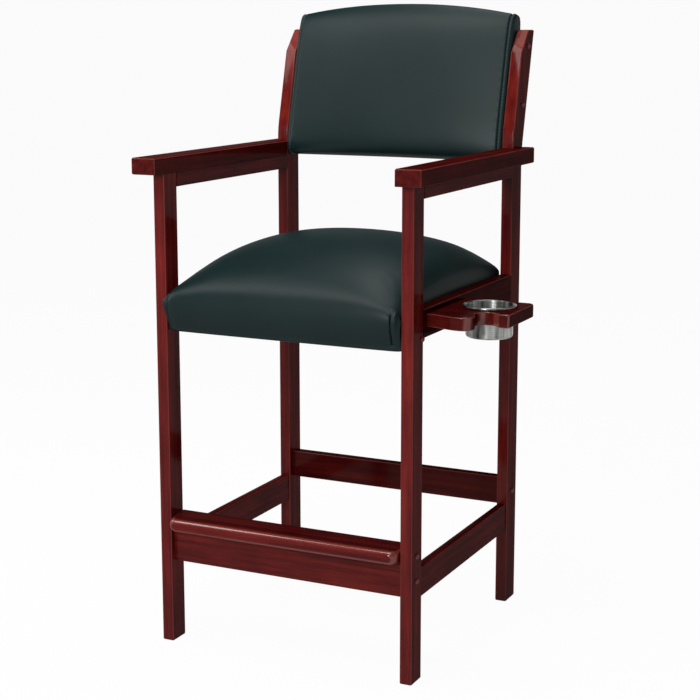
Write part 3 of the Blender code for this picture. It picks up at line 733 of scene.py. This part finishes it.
def refine(piece, chosen):
    """Divides the faces that lie where chosen says, and rounds off what that leaves flat."""
    bm = bmesh.new()
    bm.from_mesh(piece.data)
    bm.faces.ensure_lookup_table()
    centres = np.array([face.calc_center_median() for face in bm.faces])
    near = [bm.faces[i] for i in np.flatnonzero(chosen(centres))]
    edges = list(dict.fromkeys(edge for face in near for edge in face.edges))
    bmesh.ops.subdivide_edges(bm, edges=edges, cuts=DART_CUTS, use_grid_fill=True)
    bm.to_mesh(piece.data)
    bm.free()
    points = points_of(piece.data)
    rounded = spread(points, edges_of(piece.data), DART_SMOOTHING)
    put_points(piece.data, np.where(chosen(points)[:, None], rounded, points))


def sew_seat(piece):
    """Darts at the front corners: a groove up the front face, an ear outside it and a fold at its top."""
    low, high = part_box("seat_cushion")
    middle, half = (low.x + high.x) / 2, (high.x - low.x) / 2
    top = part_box("seat_deck")[1].z + SEAT_FRONT_RISE

    def past_dart(points):
        inset = np.where(points[:, 0] < middle, LEFT_DART_INSET, DART_INSET)
        return np.abs(points[:, 0] - middle) - (half - inset)

    def on_front(points):
        return points[:, 1] < low.y + SEAT_NOSE

    def at_dart(points):
        beside = np.abs(past_dart(points)) < DART_REACH
        return beside & on_front(points) & (points[:, 2] < top + DART_REACH)

    refine(piece, at_dart)
    points, normals = points_of(piece.data), normals_of(piece.data)
    across, above = past_dart(points), points[:, 2] - top
    below_top = 1 / (1 + np.exp(above / DART_FADE))
    groove = DART_DEPTH * bell(across, DART_WIDTH) * below_top
    ear = EAR_RISE * bell(across - EAR_OUTSIDE, EAR_WIDTH) * bell(above + EAR_DROP, EAR_HEIGHT)
    fold = FOLD_RISE * bell(across + FOLD_INSIDE, FOLD_WIDTH) * bell(above - FOLD_LIFT, FOLD_HEIGHT)
    rise = np.where(on_front(points), ear + fold - groove, 0.0)
    points += normals * rise[:, None]
    before_legs = np.clip((low.y + SEAT_NOSE - EAR_GAP - points[:, 1]) / EAR_GAP, 0, 1)
    widest = half + EAR_SIDE * before_legs
    points[:, 0] = middle + np.clip(points[:, 0] - middle, -widest, widest)
    put_points(piece.data, points)


def wrap_rear(piece):
    """Carries the seat's cover down the deck's rear edge and under it."""
    low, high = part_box("seat_cushion")
    deck_low, deck_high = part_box("seat_deck")
    edge, under = deck_high.y, deck_low.z
    outside, below = edge + HEM_THICKNESS, under - HEM_THICKNESS
    section = [(edge, deck_high.z + HEM_RISE), (edge, under), (edge - HEM_REACH, under)]
    section += [(edge - HEM_REACH, below), (outside, below), (outside, deck_high.z + HEM_RISE)]
    hem = loft("hem", [[(x, y, z) for y, z in section] for x in (low.x, high.x)])
    bm = bmesh.new()
    bm.from_mesh(piece.data)
    bm.from_mesh(hem.data)
    bm.to_mesh(piece.data)
    bm.free()
    bpy.data.objects.remove(hem, do_unlink=True)


def sew_back(piece):
    """A groove along each side seam, a welt between seam and side, and puckers where the stitches pull."""
    points, normals = points_of(piece.data), normals_of(piece.data)
    local = in_back_frame(points)
    inside = BACK_HALF - SEAM_INSET - np.abs(local[:, 0])
    around = local[:, 2] + local[:, 1]
    wave = np.cos(2 * pi * around / PUCKER_PITCH)
    pucker = PUCKER_DEPTH * wave * bell(inside - PUCKER_INSIDE, PUCKER_WIDTH)
    strip = SEAM_STRIP_RISE * bell(inside + SEAM_INSET / 2, SEAM_INSET / 3)
    rise = strip + pucker - SEAM_DEPTH * bell(inside, SEAM_WIDTH)
    put_points(piece.data, points + normals * rise[:, None])


def stitch(points, faces, start, end, out):
    """Adds one short thread that bows out between two points of a seam."""
    along = (end - start).normalized()
    side = along.cross(out).normalized()
    first = len(points)
    for ring in range(STITCH_RINGS):
        share = ring / (STITCH_RINGS - 1)
        bow = sin(pi * share)
        centre = start.lerp(end, share) + out * STITCH_RADIUS * (STITCH_BOW * bow - STITCH_SUNK)
        radius = STITCH_RADIUS * (STITCH_TIP + (1 - STITCH_TIP) * bow)
        for k in range(STITCH_SIDES):
            turn = 2 * pi * k / STITCH_SIDES
            points.append(centre + (side * cos(turn) + out * sin(turn)) * radius)
    for ring in range(STITCH_RINGS - 1):
        for k in range(STITCH_SIDES):
            here, there = first + ring * STITCH_SIDES, first + (ring + 1) * STITCH_SIDES
            after = (k + 1) % STITCH_SIDES
            faces.append((here + k, here + after, there + after, there + k))
    faces.append(tuple(first + k for k in reversed(range(STITCH_SIDES))))
    faces.append(tuple(first + (STITCH_RINGS - 1) * STITCH_SIDES + k for k in range(STITCH_SIDES)))


def back_stitching(cover):
    """The rows of stitches that lie in the back's two side seams."""
    surface = BVHTree.FromObject(cover, bpy.context.evaluated_depsgraph_get())
    place = back_place()
    points, faces = [], []
    for side in (-1, 1):
        seam = back_section(side * (1 - SEAM_INSET / BACK_HALF))
        row = [surface.find_nearest(place @ point)[:2] for point in seam]
        row.append(row[0])
        lengths = np.cumsum([0.0] + [(b[0] - a[0]).length for a, b in zip(row, row[1:])])
        count = int(lengths[-1] / STITCH_PITCH)

        def at(length):
            i = int(np.searchsorted(lengths, length, "right")) - 1
            share = (length - lengths[i]) / (lengths[i + 1] - lengths[i])
            return row[i][0].lerp(row[i + 1][0], share), row[i][1].lerp(row[i + 1][1], share).normalized()

        for k in range(count):
            begin = lengths[-1] * k / count
            start, out = at(begin)
            end = at(begin + STITCH_LENGTH)[0]
            stitch(points, faces, start, end, out)
    return add_mesh("back_stitching", points, faces)


def arc(centre, radius, first, last, steps):
    """Points along an arc, angles in degrees."""
    turns = [radians(first + (last - first) * i / steps) for i in range(steps + 1)]
    return [(centre[0] + radius * cos(turn), centre[1] + radius * sin(turn)) for turn in turns]


def cup():
    """The pressed cup, with its rolled lip, turned finer than its solid."""
    low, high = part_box("cup")
    middle = (low + high) / 2
    lip = (high.x - low.x) / 2
    outer = lip - LIP_WIDTH
    inner = outer - CUP_WALL
    under = high.z - LIP_HEIGHT
    roll = LIP_HEIGHT / 2
    floor = low.z + CUP_WALL
    profile = [
        *arc((inner - CUP_CORNER, floor + CUP_CORNER), CUP_CORNER, -90, 0, CUP_STEPS),
        *arc((inner + roll, high.z - roll), roll, 180, 90, CUP_STEPS),
        *arc((lip - roll, high.z - roll), roll, 90, -90, 2 * CUP_STEPS),
        (outer, under),
        *arc((outer - CUP_CORNER, low.z + CUP_CORNER), CUP_CORNER, 0, -90, CUP_STEPS),
    ]
    points, faces = [], []
    for i in range(CUP_SIDES):
        turn = 2 * pi * i / CUP_SIDES
        for radius, height in profile:
            points.append((middle.x + radius * cos(turn), middle.y + radius * sin(turn), height))
    count = len(profile)
    for i in range(CUP_SIDES):
        here, there = i * count, (i + 1) % CUP_SIDES * count
        for j in range(count - 1):
            faces.append((here + j, there + j, there + j + 1, here + j + 1))
    faces.append(tuple(i * count for i in reversed(range(CUP_SIDES))))
    faces.append(tuple(i * count + count - 1 for i in range(CUP_SIDES)))
    made = add_mesh("steel_cup", points, faces)
    outward(made)
    made.data.materials.append(stainless("brushed_stainless"))
    made.data.shade_smooth()
    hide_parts("cup")
    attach(made, "cup")


def dress_frame():
    """Gives every solid that stays its finish and smooth round edges."""
    shading = smooth_nodes()
    shared = {
        "painted_steel": painted_steel("bolt_paint"),
        "plywood": plywood("plywood"),
        "zinc": zinc("zinc"),
    }
    axes = {}
    for axis, names in enumerate((WOOD_ALONG_X, WOOD_ALONG_Y, WOOD_ALONG_Z)):
        for name in names:
            axes[name] = axis
            for side in SIDES:
                axes[f"{side}_{name}"] = axis
    slots = {part["node"]: part["material_slot"] for part in frame["record"]["subparts"]}
    # The tones of painted light on the front legs and painted shade on the other pieces
    painted_tones = {f"{side}_front_leg": LEG_PAINTED_LIGHT for side in SIDES} | PAINTED_SHADE_TONES
    for seed, (name, node) in enumerate(sorted(frame["nodes"].items())):
        slot = slots[name]
        if slot == "mahogany":
            tone = painted_tones.get(name, 1.0)
            material = mahogany("mahogany_" + name, axes[name], seed, tone, name in POLISHED)
        elif slot in shared:
            material = shared[slot]
        else:
            continue
        for held in node.material_slots:
            held.material = material
        node.modifiers.new("smooth_round_edges", "NODES").node_group = shading
        flats = node.modifiers.new("flat_faces", "WEIGHTED_NORMAL")
        flats.weight = FLAT_WEIGHT
        flats.keep_sharp = True


def cushions():
    """The seat and back, blown up and sewn, and the stitches in the back's seams."""
    cover = vinyl("black_green_vinyl")
    seat_low, seat_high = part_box("seat_cushion")
    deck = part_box("seat_deck")[1].z

    def seat_held(points):
        on_deck = points[:, 2] < deck + VOXEL
        behind_face = points[:, 1] > seat_low.y + SEAT_NOSE + VOXEL
        at_bottom = points[:, 2] < seat_low.z + VOXEL
        return on_deck & behind_face | at_bottom

    seat, back = seat_form(), back_form()
    seat_tied = draw_in(seat, seat_held)
    across = np.abs(in_back_frame(points_of(back.data))[:, 0])
    inflate(seat, seat_tied)
    inflate(back, across > BACK_HALF - SEAM_INSET)
    soften_roll(seat)
    crease_sides(back, across > BACK_HALF + SIDE_COVER / 2)
    divide(seat)
    divide(back)
    sew_seat(seat)
    wrap_rear(seat)
    sew_back(back)
    for piece, node in ((seat, "seat_cushion"), (back, "back_cushion")):
        piece.data.materials.clear()
        piece.data.materials.append(cover)
        piece.data.shade_smooth()
        piece.data.set_sharp_from_angle(angle=SHARP_EDGE)
        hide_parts(node)
        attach(piece, "chair")
    sewn = back_stitching(back)
    sewn.data.materials.append(thread("black_thread"))
    sewn.data.shade_smooth()
    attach(sewn, "chair")


def stage():
    """A wide pale floor that turns up at its rim, near white to the camera and in gloss and glass."""
    profile = [(FLOOR_RADIUS * i / FLOOR_RINGS, 0.0) for i in range(1, FLOOR_RINGS + 1)]
    profile += arc((FLOOR_RADIUS, RIM_RADIUS), RIM_RADIUS, -90, 0, RIM_STEPS)[1:]
    profile.append((FLOOR_RADIUS + RIM_RADIUS, RIM_HEIGHT))
    points, faces = [], []
    for radius, height in profile:
        for i in range(FLOOR_SIDES):
            turn = 2 * pi * i / FLOOR_SIDES
            points.append((radius * cos(turn), radius * sin(turn), height))
    for row in range(len(profile) - 1):
        for i in range(FLOOR_SIDES):
            j = (i + 1) % FLOOR_SIDES
            here, there = row * FLOOR_SIDES, (row + 1) * FLOOR_SIDES
            faces.append((here + i, there + i, there + j, here + j))
    faces.append(tuple(range(FLOOR_SIDES)))
    floor = add_mesh("floor", points, faces)
    floor.data.shade_smooth()

    finish = Finish("pale_floor")
    speckle = finish.noise(finish.coordinates(), scale=FLOOR_SPECKLE, detail=4.0)
    darker, lighter = ((tone, tone, tone) for tone in FLOOR_TONES)
    finish.surface(finish.ramp(speckle, (0.3, darker), (0.7, lighter)), FLOOR_ROUGHNESS)
    finish.set(Specular_IOR_Level=0.0)
    path = finish.add("LightPath")
    seen = finish.math("MAXIMUM", path.outputs["Is Camera Ray"], path.outputs["Is Glossy Ray"])
    seen = finish.math("MAXIMUM", seen, path.outputs["Is Transmission Ray"])
    glow = finish.add("Emission")
    mix = finish.add("MixShader")
    finish.feed(mix, "Fac", finish.math("MULTIPLY", seen, FLOOR_GLOW))
    finish.feed(mix, 1, finish.shader.outputs[0])
    finish.feed(mix, 2, glow.outputs[0])
    output = next(node for node in finish.tree.nodes if node.type == "OUTPUT_MATERIAL")
    finish.feed(output, "Surface", mix.outputs[0])
    floor.data.materials.append(finish.material)


def softbox(name, place, target, size, power):
    lamp = bpy.data.lights.new(name, "AREA")
    lamp.shape = "RECTANGLE"
    lamp.size, lamp.size_y = size
    lamp.energy = power
    made = bpy.data.objects.new(name, lamp)
    made.location = place
    made.rotation_euler = (Vector(target) - Vector(place)).to_track_quat("-Z", "Y").to_euler()
    made.visible_camera = False
    bpy.context.scene.collection.objects.link(made)


def lights():
    for lamp in SOFTBOXES:
        softbox(*lamp)
    world = bpy.data.worlds.new("studio")
    world.use_nodes = True
    background = world.node_tree.nodes["Background"]
    background.inputs["Color"].default_value = WORLD_COLOUR
    background.inputs["Strength"].default_value = WORLD_STRENGTH
    bpy.context.scene.world = world


def camera():
    data = bpy.data.cameras.new("camera")
    data.lens = CAMERA_LENS
    data.shift_x, data.shift_y = CAMERA_SHIFT
    made = bpy.data.objects.new("camera", data)
    made.location = CAMERA_PLACE
    made.rotation_euler = (pi / 2 - CAMERA_PITCH, 0, CAMERA_YAW)
    bpy.context.scene.collection.objects.link(made)
    bpy.context.scene.camera = made


dress_frame()
cushions()
cup()
stage()
lights()
camera()
bpy.context.scene.view_settings.view_transform = "Standard"
